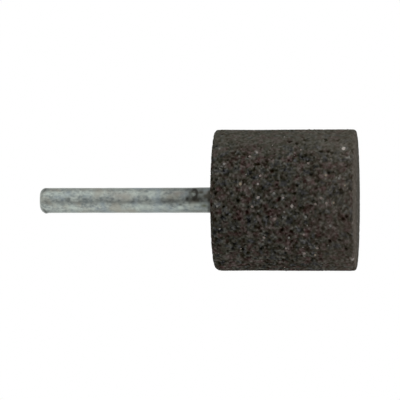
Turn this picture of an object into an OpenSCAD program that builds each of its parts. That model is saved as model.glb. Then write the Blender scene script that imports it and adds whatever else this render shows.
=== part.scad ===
// Mounted point: a cylindrical bonded-abrasive head cemented onto a round steel shank.
// It stands on the free end face of its head: that face is at z = 0 and the shank points up along +Z.

/* [Abrasive head] */
// Outside diameter of the head
head_d = 34; // [20:0.5:60]
// Length of the head along its axis
head_l = 34; // [27:0.5:60]
// Edge radius round the free end face
nose_edge_r = 0.8; // [0.2:0.1:3]
// Edge radius round the face on the shank side
back_edge_r = 1; // [0.2:0.1:3]

/* [Shank] */
// Shank diameter, which is the size of the collet that holds it
shank_d = 6; // [4:0.05:8]
// Length of the shank outside the head
shank_free_l = 42; // [25:0.5:80]
// Length of the shank inside the head
shank_grip_l = 22; // [10:0.5:28]
// Edge radius round the free tip
tip_edge_r = 1.4; // [0.2:0.1:1.8]

/* [Keyed end of the shank] */
// Depth that the keyed end is turned down below the full diameter
key_relief = 0.3; // [0.1:0.05:0.8]
// Plain length between the head's back face and the knurl
key_collar_l = 1; // [0.5:0.1:3]
// Spacing of the knurl flutes round the keyed end
knurl_pitch = 1.5; // [0.9:0.1:3]
// Depth of a knurl flute
knurl_depth = 0.35; // [0.1:0.05:0.6]
// Width of the retaining groove that crosses the knurl
groove_w = 3; // [1:0.5:6]
// Depth of the retaining groove
groove_depth = 0.4; // [0.2:0.1:1]
// Chamfer at the inner end of the shank
inner_chamfer = 0.5; // [0.1:0.1:1]

/* [Cement joint] */
// Room for cement between the full diameter of the shank and the socket wall
cement_wall = 0.3; // [0.1:0.05:1]
// Thickness of the cement under the inner end of the shank
cement_floor = 0.6; // [0.2:0.1:2]
// Included angle of the conical bottom of the socket
socket_cone_angle = 118; // [90:1:150]
// Countersink at the mouth of the socket
mouth_chamfer = 0.4; // [0.1:0.1:1]
// Height of the cement bead, which reaches up to the shoulder of the shank
bead_h = 0.5; // [0.1:0.1:1]

/* [Hidden] */
$fn = 96;

// How far a cutting shape runs past the face that it opens
overrun = 1;

head_r = head_d / 2;
shank_r = shank_d / 2;
key_r = shank_r - key_relief;
socket_r = shank_r + cement_wall;
mouth_r = socket_r + mouth_chamfer;

// Heights along the axis, from the free end face upwards
tip_z = head_l + shank_free_l;
shoulder_z = head_l + bead_h;
knurl_top_z = head_l - key_collar_l;
shank_in_z = head_l - shank_grip_l;
socket_floor_z = shank_in_z - cement_floor;
socket_apex_z = socket_floor_z - socket_r / tan(socket_cone_angle / 2);
groove_mid_z = (shank_in_z + knurl_top_z) / 2;

// Number of knurl flutes that fit round the keyed end
flute_count = floor(2 * PI * key_r / knurl_pitch);

// Half section of the ring that a rim radius r cuts off, seen from the sharp corner at the origin
module rim_waste(r) {
    difference() {
        translate([-r, -overrun]) square([r + overrun, r + overrun]);
        translate([-r, r]) circle(r);
    }
}

// Half section of the plain head, with both rims rounded
module head_section() {
    difference() {
        square([head_r, head_l]);
        translate([head_r, 0]) rim_waste(nose_edge_r);
        translate([head_r, head_l]) mirror([0, 1]) rim_waste(back_edge_r);
    }
}

// Half section of the blind socket: countersunk mouth, straight wall and conical bottom
module socket_section() {
    polygon([
        [0, socket_apex_z],
        [socket_r, socket_floor_z],
        [socket_r, head_l - mouth_chamfer],
        [mouth_r + overrun, head_l + overrun],
        [0, head_l + overrun]
    ]);
}

// Half section of the cement with the shank not yet cut out: it fills the socket and stands up as a bead
module cement_section() {
    polygon([
        [0, socket_apex_z],
        [socket_r, socket_floor_z],
        [socket_r, head_l - mouth_chamfer],
        [mouth_r, head_l],
        [shank_r, shoulder_z],
        [0, shoulder_z]
    ]);
}

// Half section of the shank without its knurl, with the tip rounded
module shank_section() {
    difference() {
        polygon([
            [0, shank_in_z],
            [key_r - inner_chamfer, shank_in_z],
            [key_r, shank_in_z + inner_chamfer],
            [key_r, groove_mid_z - groove_w / 2],
            [key_r - groove_depth, groove_mid_z - groove_w / 2],
            [key_r - groove_depth, groove_mid_z + groove_w / 2],
            [key_r, groove_mid_z + groove_w / 2],
            [key_r, shoulder_z],
            [shank_r, shoulder_z],
            [shank_r, tip_z],
            [0, tip_z]
        ]);
        translate([shank_r, tip_z]) mirror([0, 1]) rim_waste(tip_edge_r);
    }
}

// V-shaped flutes of the straight knurl, open at the inner end of the shank
module knurl_flutes() {
    flute_l = knurl_top_z - shank_in_z + overrun;
    for (i = [0 : flute_count - 1])
        rotate(i * 360 / flute_count)
            translate([key_r, 0, shank_in_z - overrun])
                linear_extrude(flute_l)
                    rotate(45)
                        square(knurl_depth * sqrt(2), center = true);
}

// Head of pressed abrasive grain, with the blind socket for the shank in its back face
module abrasive_head() {
    color([0.22, 0.21, 0.19])
        rotate_extrude()
            difference() {
                head_section();
                socket_section();
            }
}

// Steel shank: plain for the collet, rounded at the tip, turned down, knurled and grooved in the cement
module shank() {
    color([0.54, 0.56, 0.54])
        difference() {
            rotate_extrude() shank_section();
            knurl_flutes();
        }
}

// Cement that fills the socket round the keyed end of the shank and ends in a small bead
module bond_cement() {
    color([0.36, 0.29, 0.22])
        difference() {
            rotate_extrude() cement_section();
            shank();
        }
}

abrasive_head();
shank();
bond_cement();
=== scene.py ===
"""Dress and light a mounted point: a cylindrical abrasive head cemented onto a steel shank.

Everything is in metres in the part's own frame. The free end face of the head lies at z = 0 and the shank
points up along +Z. Each new piece is a surface worked out on whole numpy arrays: a half section carried round
the axis, with grain, wear and tool marks added along its normals.
"""

import itertools
import logging
import math
from abc import ABC, abstractmethod
from collections.abc import Sequence
from dataclasses import dataclass, field
from enum import Enum, IntEnum

import bpy
import numpy as np
from mathutils import Matrix, Vector


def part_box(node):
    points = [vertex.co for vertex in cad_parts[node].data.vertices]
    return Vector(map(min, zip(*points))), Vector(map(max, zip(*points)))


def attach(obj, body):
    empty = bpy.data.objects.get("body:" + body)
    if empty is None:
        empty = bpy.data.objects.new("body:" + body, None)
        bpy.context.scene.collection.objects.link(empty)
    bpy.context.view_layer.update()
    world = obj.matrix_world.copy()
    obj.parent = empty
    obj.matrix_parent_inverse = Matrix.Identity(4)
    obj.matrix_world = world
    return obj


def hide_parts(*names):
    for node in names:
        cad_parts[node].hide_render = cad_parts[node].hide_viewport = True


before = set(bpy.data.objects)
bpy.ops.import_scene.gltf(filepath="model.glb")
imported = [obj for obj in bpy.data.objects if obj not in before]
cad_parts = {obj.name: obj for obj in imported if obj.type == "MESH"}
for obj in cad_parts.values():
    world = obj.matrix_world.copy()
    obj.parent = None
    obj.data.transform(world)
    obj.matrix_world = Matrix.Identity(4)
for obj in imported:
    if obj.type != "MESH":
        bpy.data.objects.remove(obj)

Array = np.ndarray
Colour = tuple[float, float, float]
NodeSocket = bpy.types.NodeSocket

LOG = logging.getLogger("mounted_point")
MM = 0.001
WHITE = (1.0, 1.0, 1.0, 1.0)
# Room for cement round and under the shank
CEMENT_WALL = 0.3 * MM
CEMENT_FLOOR = 0.6 * MM
# A radius below this counts as the axis itself
TINY = 1e-9
# Points along each arc of a half section
ARC_POINTS = 33
# Edges that turn by more than this stay sharp on a smooth piece
SHARP_ANGLE = math.radians(38.0)


class Node(Enum):
    """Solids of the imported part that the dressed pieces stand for."""

    HEAD = "abrasive_head"
    SHANK = "shank"
    CEMENT = "bond_cement"


class Slot(Enum):
    """Material slots of the part's record."""

    ABRASIVE = "abrasive"
    STEEL = "shank_steel"
    CEMENT = "cement"


class Domain(Enum):
    """Where on a mesh an attribute keeps its values."""

    POINT = "POINT"
    FACE = "FACE"


class Shading(Enum):
    """How light runs over a mesh: each facet by itself, or smoothly up to sharp edges."""

    FACETED = "faceted"
    SMOOTH = "smooth"


class Hue(Enum):
    """Hue of a pale grain, as its place on the colour ramp of the crystals."""

    GREY = 0.0
    PINK = 0.3
    AMBER = 0.55
    WHITE = 0.8
    BRIGHT = 1.0


class Trace(Enum):
    """What a mark on the shank is, by the attribute that carries it, painted shade and highlights among them.
    """

    # Stains, and painted shade: the tip line, the long line down the middle and part of the joint band
    GRIME = "stain"
    # Painted highlight: lighter patches laid along the shank's two bright reflection bands
    BARE = "bare"
    BROWN = "brown"
    SMEAR = "smear"
    OIL = "oil"


class Ray(Enum):
    """Rays that a thing on the stage can be hidden from, by the setting that says so."""

    CAMERA = "visible_camera"
    DIFFUSE = "visible_diffuse"
    GLOSSY = "visible_glossy"
    SHADOW = "visible_shadow"


class HeadLine(IntEnum):
    """Stretches of the head's half section, in order."""

    END_FACE = 0
    NOSE_RIM = 1
    WALL = 2
    BACK_RIM = 3
    BACK_FACE = 4
    MOUTH = 5
    SOCKET_WALL = 6
    SOCKET_CONE = 7


class CementLine(IntEnum):
    """Stretches of the cement's half section, in order, up to the first one on the keyed end of the shank."""

    CONE = 0
    WALL = 1
    MOUTH = 2
    BEAD = 3
    SHOULDER = 4
    KEY = 5


class GrainSeed(IntEnum):
    """First numbers of the random sequences that the packing of grains draws on."""

    PACKING = 11
    WARP = 31
    DRAWS = 41
    CLUSTERS = 61
    TINTS = 62
    TONES = 63
    PITS = 71
    PIT_DRAWS = 74


class Seed(IntEnum):
    """Numbers of the other random sequences."""

    HEAD_DIAGONALS = 3
    SHANK_DIAGONALS = 4
    CRYSTALS = 5
    CEMENT_DIAGONALS = 6
    RIM_WEAR = 71
    CHIPS = 72
    SPOTS = 74
    STRIPE = 75
    DUST = 76
    JITTER_ALONG = 81
    JITTER_ROUND = 82
    DENTS = 91
    FINE_DENTS = 92
    TIDE = 93
    SMEAR = 94
    LUMPS = 95
    FINE_LUMPS = 96
    MARKS = 97


def smooth_rise(value: Array, low: float, high: float) -> Array:
    """Rise from 0 at low to 1 at high on the cubic 3 t squared minus 2 t cubed.

    Args:
        value: Numbers to map.
        low: Where the rise starts.
        high: Where the rise ends.

    Returns:
        The risen numbers, from 0 to 1.
    """
    t = np.clip((value - low) / (high - low), 0.0, 1.0)
    return t * t * (3.0 - 2.0 * t)


def bell(value: Array, middle: float = 0.0, width: float = 1.0) -> Array:
    """Fall off to both sides of a middle: e to the power of minus the square of the distance over the width.

    Args:
        value: Numbers to map.
        middle: Where the bell is 1.
        width: How far from there it falls to 1 over e.

    Returns:
        The height of the bell at each number.
    """
    return np.exp(-(((value - middle) / width) ** 2))


def angle_from(angle: Array, middle: float) -> Array:
    """Measure angles from a middle bearing, from minus to plus half a turn."""
    return np.angle(np.exp(1j * (angle - middle)))


def lattice_random(cell: Array, seed: int) -> Array:
    """Give each cell of a whole-number lattice its own repeatable random number.

    The three coordinates are multiplied by large odd numbers, combined by exclusive or with the seed, and
    stirred by shifts and two more products, all in 32 bits.

    Args:
        cell: Whole-number coordinates, three in the last axis.
        seed: Number of the random sequence.

    Returns:
        Random numbers from 0 to 1, one for each cell.
    """
    x, y, z = (cell[..., axis].astype(np.uint32) for axis in range(3))
    mixed = x * np.uint32(0x8DA6B343) ^ y * np.uint32(0xD8163841) ^ z * np.uint32(0xCB1AB31F)
    mixed ^= np.uint32((seed + 1) * 0x9E3779B1 & 0xFFFFFFFF)
    mixed ^= mixed >> np.uint32(16)
    mixed *= np.uint32(0x7FEB352D)
    mixed ^= mixed >> np.uint32(15)
    mixed *= np.uint32(0x846CA68B)
    mixed ^= mixed >> np.uint32(16)
    return mixed.astype(np.float64) / 2.0**32


def soft_noise(points: Array, size: float, seed: int) -> Array:
    """Blend random lattice values into smooth noise from -1 to 1.

    Each point takes the values at the eight corners of its lattice cube, weighted by the cubic rise along
    each axis.

    Args:
        points: Places, three coordinates in the last axis.
        size: Edge of a lattice cube.
        seed: Number of the random sequence.

    Returns:
        The noise at each point.
    """
    scaled = points / size
    base = np.floor(scaled).astype(np.int64)
    near = scaled - base
    rise = near * near * (3.0 - 2.0 * near)
    total = np.zeros(points.shape[:-1])
    for corner in itertools.product((0, 1), repeat=3):
        step = np.array(corner)
        weight = np.prod(np.where(step == 1, rise, 1.0 - rise), axis=-1)
        total += weight * lattice_random(base + step, seed)
    return 2.0 * total - 1.0


@dataclass(frozen=True)
class Cells:
    """Nearest cells of a scattered packing at each point, with lengths in cell sizes."""

    nearest: Array
    second: Array
    offset: Array
    key: Array


def pack_cells(points: Array, size: float, seed: int) -> Cells:
    """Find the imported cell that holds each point.

    Every lattice cube has one centre at a random place in it. A point belongs to the nearest centre, and the
    second nearest tells how far the border between two cells is.

    Args:
        points: Places, three coordinates in the last axis.
        size: Mean size of a cell.
        seed: Number of the random sequence.

    Returns:
        Distances to the nearest two centres, the offset from the nearest and its lattice cell.
    """
    scaled = points / size
    base = np.floor(scaled).astype(np.int64)
    nearest = np.full(len(points), np.inf)
    second = np.full(len(points), np.inf)
    offset = np.zeros_like(points)
    key = np.zeros_like(base)
    for step in itertools.product((-1, 0, 1), repeat=3):
        cell = base + np.array(step)
        centre = cell + np.stack([lattice_random(cell, seed + axis) for axis in range(3)], axis=-1)
        away = scaled - centre
        distance = np.linalg.norm(away, axis=-1)
        closer = distance < nearest
        second = np.where(closer, nearest, np.minimum(second, distance))
        nearest = np.where(closer, distance, nearest)
        offset = np.where(closer[:, None], away, offset)
        key = np.where(closer[:, None], cell, key)
    return Cells(nearest, second, offset, key)


# Turned surfaces


@dataclass(frozen=True)
class Stroke:
    """One stretch of a half section: its points as (radius, height) and the rings of mesh that it gets."""

    points: Array
    rings: int


def straight(start: tuple[float, float], end: tuple[float, float], spacing: float) -> Stroke:
    """Draw a straight stretch of a half section.

    Args:
        start: First point as (radius, height).
        end: Last point as (radius, height).
        spacing: Largest distance between rings.

    Returns:
        The stretch.
    """
    length = math.dist(start, end)
    return Stroke(np.array([start, end]), max(1, math.ceil(length / spacing)))


def quarter_round(
    centre: tuple[float, float], radius: float, first: float, last: float, spacing: float
) -> Stroke:
    """Draw an arc of a half section.

    Args:
        centre: Centre of the arc as (radius, height).
        radius: Radius of the arc.
        first: Angle of its first point in degrees, from the outward direction.
        last: Angle of its last point in degrees.
        spacing: Largest distance between rings.

    Returns:
        The arc.
    """
    angle = np.radians(np.linspace(first, last, ARC_POINTS))
    points = np.stack([centre[0] + radius * np.cos(angle), centre[1] + radius * np.sin(angle)], axis=-1)
    length = radius * math.radians(abs(last - first))
    return Stroke(points, max(2, math.ceil(length / spacing)))


class Profile:
    """Half section of a turned piece, followed with the material on its left hand."""

    # Where the blend of two directions is shorter than this, they meet in a corner
    corner_blend = 0.98

    def __init__(self, strokes: list[Stroke]) -> None:
        """Join strokes end to end and measure the length along them.

        The corners are the lengths at which the strokes start, and the end of the last one.

        Args:
            strokes: Stretches in order, each starting where the last one ends.
        """
        self.points = np.concatenate([strokes[0].points[:1]] + [stroke.points[1:] for stroke in strokes])
        steps = np.linalg.norm(np.diff(self.points, axis=0), axis=-1)
        self.length = np.concatenate([[0.0], np.cumsum(steps)])
        corner = np.cumsum([0] + [len(stroke.points) - 1 for stroke in strokes])
        self.corners = self.length[corner]
        stops = [
            np.linspace(self.corners[i], self.corners[i + 1], stroke.rings, endpoint=False)
            for i, stroke in enumerate(strokes)
        ]
        self.rings = np.concatenate(stops + [self.corners[-1:]])

    def at(self, along: Array) -> tuple[Array, Array]:
        """Look up the half section at lengths along it.

        Directions are blended from the middle of one segment to that of the next, except across a corner.

        Args:
            along: Lengths from its start.

        Returns:
            Points as (radius, height) and unit normals that point out of the material.
        """
        along = np.clip(along, 0.0, self.length[-1])
        place = np.stack([np.interp(along, self.length, self.points[:, axis]) for axis in range(2)], axis=-1)
        tangent = np.diff(self.points, axis=0) / np.diff(self.length)[:, None]
        middle = (self.length[1:] + self.length[:-1]) / 2.0
        bearing = np.stack([np.interp(along, middle, tangent[:, axis]) for axis in range(2)], axis=-1)
        segment = np.clip(np.searchsorted(self.length, along, side="right") - 1, 0, len(tangent) - 1)
        bent = np.linalg.norm(bearing, axis=-1, keepdims=True) < self.corner_blend
        bearing = np.where(bent, tangent[segment], bearing)
        bearing /= np.linalg.norm(bearing, axis=-1, keepdims=True)
        return place, np.stack([bearing[:, 1], -bearing[:, 0]], axis=-1)

    def middle(self, stroke: int) -> float:
        """Give the length at the middle of a stroke."""
        return (self.corners[stroke] + self.corners[stroke + 1]) / 2.0


class RingSkin:
    """Rings of points round the axis, joined band by band into one closed skin."""

    def __init__(self, profile: Profile, columns: int) -> None:
        """Choose how many points each ring has: one on the axis, half as many each time the radius halves.

        Args:
            profile: Half section that the rings lie on, which starts and ends on the axis.
            columns: Number of points on the widest ring, a multiple of a high power of two.
        """
        radii = profile.at(profile.rings)[0][:, 0]
        halvings = np.round(np.log2(radii.max() / np.maximum(radii, TINY)))
        halvings = np.minimum(halvings, self.deepest(columns)).astype(int)
        self.counts = np.where(radii > TINY, columns >> halvings, 1)
        self.starts = np.cumsum(self.counts) - self.counts

    @staticmethod
    def deepest(columns: int) -> int:
        """Count how often a number of columns is halved before it is odd or at most 8."""
        return next(power for power in range(12) if (columns >> power) % 2 == 1 or (columns >> power) <= 8)

    def layout(self) -> tuple[Array, Array]:
        """Spread the points over the rings.

        Returns:
            The ring that each point is on, and its angle round the axis in radians.
        """
        ring = np.repeat(np.arange(len(self.counts)), self.counts)
        local = np.arange(len(ring)) - self.starts[ring]
        return ring, 2.0 * np.pi * local / self.counts[ring]

    def _segments(self, pairs: Array, counts: Array) -> tuple[Array, Array]:
        """Repeat each pair of rings once for each of its segments.

        Args:
            pairs: Index of the first ring of each pair.
            counts: Number of segments of each pair.

        Returns:
            The first ring of each segment, and the segment's place on it.
        """
        ring = np.repeat(pairs, counts)
        begin = np.repeat(np.cumsum(counts) - counts, counts)
        return ring, np.arange(len(ring)) - begin

    def _point(self, ring: Array, local: Array) -> Array:
        """Number the points at places on rings, going round past the last one."""
        return self.starts[ring] + local % self.counts[ring]

    def triangles(self, seed: int) -> Array:
        """Join each ring to the next.

        Rings with equal counts get two triangles for each segment, split along a random diagonal. Where the
        count halves or doubles, each wide segment takes three, and at a pole each segment takes one.

        Args:
            seed: Number of the random sequence for the diagonals.

        Returns:
            Point numbers, three for each triangle, turning left as seen from outside.
        """
        first, second = self.counts[:-1], self.counts[1:]
        index = np.arange(len(first))
        even = (first == second) & (first > 1)
        narrowing = (first == 2 * second) & (second > 1)
        widening = (2 * first == second) & (first > 1)
        opening = (first == 1) & (second > 1)
        closing = (first > 1) & (second == 1)
        out = []
        ring, j = self._segments(index[even], first[even])
        a, b = self._point(ring, j), self._point(ring, j + 1)
        c, d = self._point(ring + 1, j + 1), self._point(ring + 1, j)
        flip = lattice_random(np.stack([ring, j, j * 0], axis=-1), seed) > 0.5
        out.append(np.where(flip[:, None], np.stack([a, b, c], -1), np.stack([a, b, d], -1)))
        out.append(np.where(flip[:, None], np.stack([a, c, d], -1), np.stack([b, c, d], -1)))
        ring, k = self._segments(index[narrowing], second[narrowing])
        a, m, b = (self._point(ring, 2 * k + i) for i in range(3))
        c, d = self._point(ring + 1, k + 1), self._point(ring + 1, k)
        out += [np.stack(t, -1) for t in ((a, m, d), (m, c, d), (m, b, c))]
        ring, k = self._segments(index[widening], first[widening])
        a, b = self._point(ring, k), self._point(ring, k + 1)
        d, m, c = (self._point(ring + 1, 2 * k + i) for i in range(3))
        out += [np.stack(t, -1) for t in ((a, m, d), (a, b, m), (b, c, m))]
        ring, j = self._segments(index[opening], second[opening])
        pole, c, d = self._point(ring, j), self._point(ring + 1, j + 1), self._point(ring + 1, j)
        out.append(np.stack([pole, c, d], -1))
        ring, j = self._segments(index[closing], first[closing])
        a, b, pole = self._point(ring, j), self._point(ring, j + 1), self._point(ring + 1, j)
        out.append(np.stack([a, b, pole], -1))
        return np.concatenate(out)


def turn(profile: Profile, along: Array, angle: Array) -> tuple[Array, Array]:
    """Carry a half section round the Z axis.

    A point at radius r, height h and angle t goes to (r cos t, r sin t, h), and its normal turns with it.

    Args:
        profile: The half section.
        along: Length along the half section of each point.
        angle: Angle of each point round the axis in radians.

    Returns:
        Points and unit normals in space.
    """
    place, normal = profile.at(along)
    cosine, sine = np.cos(angle), np.sin(angle)
    points = np.stack([place[:, 0] * cosine, place[:, 0] * sine, place[:, 1]], axis=-1)
    normals = np.stack([normal[:, 0] * cosine, normal[:, 0] * sine, normal[:, 1]], axis=-1)
    return points, normals


# Meshes


def make_piece(name: str, points: Array, triangles: Array, shading: Shading) -> bpy.types.Object:
    """Put points and triangles into a new mesh object at the origin.

    Args:
        name: Name of the piece.
        points: Places in metres, one row each.
        triangles: Point numbers, three for each triangle.
        shading: How light runs over it.

    Returns:
        The object, linked to the scene.
    """
    mesh = bpy.data.meshes.new(name)
    mesh.vertices.add(len(points))
    mesh.vertices.foreach_set("co", points.astype(np.float32).ravel())
    mesh.loops.add(triangles.size)
    mesh.loops.foreach_set("vertex_index", triangles.astype(np.int32).ravel())
    mesh.polygons.add(len(triangles))
    mesh.polygons.foreach_set("loop_start", np.arange(0, triangles.size, 3, dtype=np.int32))
    mesh.update(calc_edges=True)
    if shading is Shading.SMOOTH:
        mesh.shade_smooth()
        mesh.set_sharp_from_angle(angle=SHARP_ANGLE)
    else:
        mesh.shade_flat()
    piece = bpy.data.objects.new(name, mesh)
    bpy.context.scene.collection.objects.link(piece)
    return piece


def add_attributes(piece: bpy.types.Object, domain: Domain, layers: dict[str, Array]) -> None:
    """Store numbers for each point or face of a piece, for its material to read.

    Args:
        piece: The mesh object.
        domain: Whether the numbers belong to points or faces.
        layers: The numbers, by the name of their attribute.
    """
    for name, values in layers.items():
        attribute = piece.data.attributes.new(name, "FLOAT", domain.value)
        attribute.data.foreach_set("value", values.astype(np.float32))


# Materials


class Graph:
    """Short way to add nodes to a node tree and wire them up."""

    def __init__(self, tree: bpy.types.NodeTree) -> None:
        """Start from an empty tree.

        Args:
            tree: Node tree of a material or a world.
        """
        self.tree = tree
        tree.nodes.clear()

    def add(self, kind: str, inputs: dict | None = None, **settings: object) -> bpy.types.Node:
        """Add a node, set its options and fill its inputs.

        Args:
            kind: Node type without the leading ShaderNode.
            inputs: Values or output sockets for its inputs, by name or number.
            settings: Options of the node itself.

        Returns:
            The node.
        """
        node = self.tree.nodes.new("ShaderNode" + kind)
        for key, value in settings.items():
            setattr(node, key, value)
        for key, value in (inputs or {}).items():
            if isinstance(value, NodeSocket):
                self.tree.links.new(value, node.inputs[key])
            else:
                node.inputs[key].default_value = value
        return node

    def read(self, name: str) -> NodeSocket:
        """Give the number that an attribute of the mesh holds."""
        return self.add("Attribute", attribute_name=name).outputs["Fac"]

    def place(self) -> NodeSocket:
        """Give the object coordinates of the shaded point."""
        return self.add("TexCoord").outputs["Object"]

    def noise(
        self, size: float, detail: float = 2.0, roughness: float = 0.5, drawn: float = 1.0
    ) -> NodeSocket:
        """Give smooth noise over the object's coordinates.

        Args:
            size: Size of its largest spots in metres.
            detail: How many finer layers are added.
            roughness: How strong the finer layers are.
            drawn: How much longer the spots are along Z.

        Returns:
            Its value, from 0 to 1 with a mean near one half.
        """
        mapping = self.add("Mapping", {"Vector": self.place(), "Scale": (1.0, 1.0, 1.0 / drawn)})
        place = mapping.outputs["Vector"]
        inputs = {"Vector": place, "Scale": 1.0 / size, "Detail": detail, "Roughness": roughness}
        return self.add("TexNoise", inputs).outputs["Fac"]

    def math(self, operation: str, *values: object) -> NodeSocket:
        """Combine numbers by one operation.

        Args:
            operation: Name of the operation, such as MULTIPLY.
            values: Numbers or sockets.

        Returns:
            The result.
        """
        return self.add("Math", dict(enumerate(values)), operation=operation).outputs[0]

    def vector(self, operation: str, *values: object) -> NodeSocket:
        """Combine vectors or colours by one operation.

        Args:
            operation: Name of the operation, such as ADD.
            values: Vectors or sockets.

        Returns:
            The result, which is a number where the operation gives one.
        """
        node = self.add("VectorMath", dict(enumerate(values)), operation=operation)
        return node.outputs["Value" if operation in ("DOT_PRODUCT", "LENGTH") else "Vector"]

    def remap(self, value: object, low: float, high: float, to_low: float, to_high: float) -> NodeSocket:
        """Map a range of numbers onto another one, and hold it at its ends.

        Args:
            value: Number or socket.
            low: Start of the range.
            high: End of the range.
            to_low: What the start becomes.
            to_high: What the end becomes.

        Returns:
            The mapped number.
        """
        inputs = {"Value": value, "From Min": low, "From Max": high, "To Min": to_low, "To Max": to_high}
        return self.add("MapRange", inputs).outputs["Result"]

    def ramp(self, value: object, stops: list[tuple[float, Colour]]) -> NodeSocket:
        """Turn a number into a colour along a ramp.

        Args:
            value: Number or socket from 0 to 1.
            stops: Places on the ramp and their colours.

        Returns:
            The colour.
        """
        node = self.add("ValToRGB", {"Fac": value})
        elements = node.color_ramp.elements
        for _ in range(len(stops) - len(elements)):
            elements.new(0.5)
        for element, (place, colour) in zip(elements, stops):
            element.position = place
            element.color = (*colour, 1.0)
        return node.outputs["Color"]

    def mix(self, factor: object, first: object, second: object) -> NodeSocket:
        """Blend two colours.

        Args:
            factor: How much of the second is used.
            first: First colour or socket.
            second: Second colour or socket.

        Returns:
            The blended colour.
        """
        # Among sockets for other kinds of value, the colours are numbers 6 and 7, and the result is number 2
        inputs = {0: factor, 6: first, 7: second}
        solid = {key: (*value, 1.0) if isinstance(value, tuple) else value for key, value in inputs.items()}
        return self.add("Mix", solid, data_type="RGBA").outputs[2]

    def scale_colour(self, colour: object, factor: NodeSocket) -> NodeSocket:
        """Multiply a colour by a number.

        Args:
            colour: Colour or socket.
            factor: The number.

        Returns:
            The darker or lighter colour.
        """
        return self.add("VectorMath", {0: colour, "Scale": factor}, operation="SCALE").outputs["Vector"]

    def bump(self, height: NodeSocket, depth: float, strength: float) -> NodeSocket:
        """Tilt the normals as a height would.

        Args:
            height: Height from 0 to 1.
            depth: What a height of 1 stands for in metres.
            strength: Share of the effect.

        Returns:
            The tilted normal.
        """
        return self.add("Bump", {"Height": height, "Distance": depth, "Strength": strength}).outputs["Normal"]

    def surface(self, shader: bpy.types.Node) -> None:
        """Wire a shader to the material's output."""
        self.add("OutputMaterial", {"Surface": shader.outputs[0]})


def new_material(name: str) -> tuple[bpy.types.Material, Graph]:
    """Make an empty node material.

    Args:
        name: Name of the material.

    Returns:
        The material and the way to add nodes to it.
    """
    material = bpy.data.materials.new(name)
    material.use_nodes = True
    return material, Graph(material.node_tree)


class Finish(ABC):
    """A finish of the part. Each kind says how its surface is painted."""

    @abstractmethod
    def paint(self, graph: Graph) -> dict[str, object]:
        """Add the nodes of the finish and give the inputs of its surface shader, by name."""

    def build(self, name: str) -> bpy.types.Material:
        """Make the material.

        Args:
            name: Name of the material.

        Returns:
            The material.
        """
        material, graph = new_material(name)
        graph.surface(graph.add("BsdfPrincipled", self.paint(graph)))
        return material


@dataclass(frozen=True)
class GritFinish(Finish):
    """Dark bonded grit: grains with their own tone and tint, near-black pores, and brown dust on the nose.

    A colour is grey times the tone plus the tint times a lower power of the tone, so that dark grains look
    warmer and pale ones greyer. The near-black of the pores is partly painted shade.
    """

    red: Colour = (0.0784, 0.0527, 0.0501)
    warm: Colour = (0.0658, 0.0555, 0.0482)
    green: Colour = (0.0581, 0.0568, 0.0449)
    blue: Colour = (0.0533, 0.0531, 0.0542)
    ground: Colour = (0.0580, 0.0537, 0.0440)
    dust: Colour = (0.1159, 0.0976, 0.0805)
    grey: Colour = (0.0555, 0.0555, 0.0555)
    tint_power: float = 0.38
    speckle: float = 0.16 * MM
    speckle_tone: tuple[float, float] = (0.98, 1.02)
    speckle_depth: float = 0.05 * MM
    speckle_relief: float = 0.12
    patch: float = 0.5 * MM
    roughness: tuple[float, float] = (0.5, 0.8)
    specular: float = 0.0

    def paint(self, graph: Graph) -> dict[str, object]:
        """Mix the colour from the mesh's grain attributes and add fine speckles.

        Args:
            graph: Where the nodes go.

        Returns:
            Inputs of the surface shader.
        """
        stops = [(0.0, self.red), (0.34, self.warm), (0.60, self.green), (0.90, self.blue)]
        colour = graph.ramp(graph.read("grain_tint"), stops)
        colour = graph.mix(graph.read("ground"), colour, self.ground)
        colour = graph.mix(graph.read("dust"), colour, self.dust)
        speckles = graph.noise(self.speckle, detail=3.0, roughness=0.6)
        tone = graph.remap(speckles, 0.3, 0.7, *self.speckle_tone)
        tone = graph.math("MULTIPLY", graph.read("grain_tone"), tone)
        tint = graph.vector("SUBTRACT", colour, self.grey)
        tint = graph.scale_colour(tint, graph.math("POWER", tone, self.tint_power))
        return {
            "Base Color": graph.vector("ADD", graph.scale_colour(self.grey, tone), tint),
            "Roughness": graph.remap(graph.noise(self.patch, detail=1.0), 0.35, 0.65, *self.roughness),
            "Specular IOR Level": self.specular,
            "Normal": graph.bump(speckles, self.speckle_depth, self.speckle_relief),
        }


@dataclass(frozen=True)
class CrystalFinish(Finish):
    """Pale glassy grains that glint in the dark grit: grey, pink, amber, white or bright white."""

    grey: Colour = (0.128, 0.124, 0.110)
    pink: Colour = (0.182, 0.140, 0.122)
    amber: Colour = (0.200, 0.158, 0.108)
    white: Colour = (0.225, 0.195, 0.179)
    bright: Colour = (0.39, 0.35, 0.315)
    cloud: float = 0.2 * MM
    cloud_tone: tuple[float, float] = (0.72, 1.10)
    roughness: float = 0.3

    def paint(self, graph: Graph) -> dict[str, object]:
        """Give each grain its hue, with small clouds in it.

        Args:
            graph: Where the nodes go.

        Returns:
            Inputs of the surface shader.
        """
        colours = (self.grey, self.pink, self.amber, self.white, self.bright)
        stops = [(hue.value, colour) for hue, colour in zip(Hue, colours)]
        colour = graph.ramp(graph.read("crystal_hue"), stops)
        cloudy = graph.remap(graph.noise(self.cloud), 0.3, 0.7, *self.cloud_tone)
        return {"Base Color": graph.scale_colour(colour, cloudy), "Roughness": self.roughness}


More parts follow.
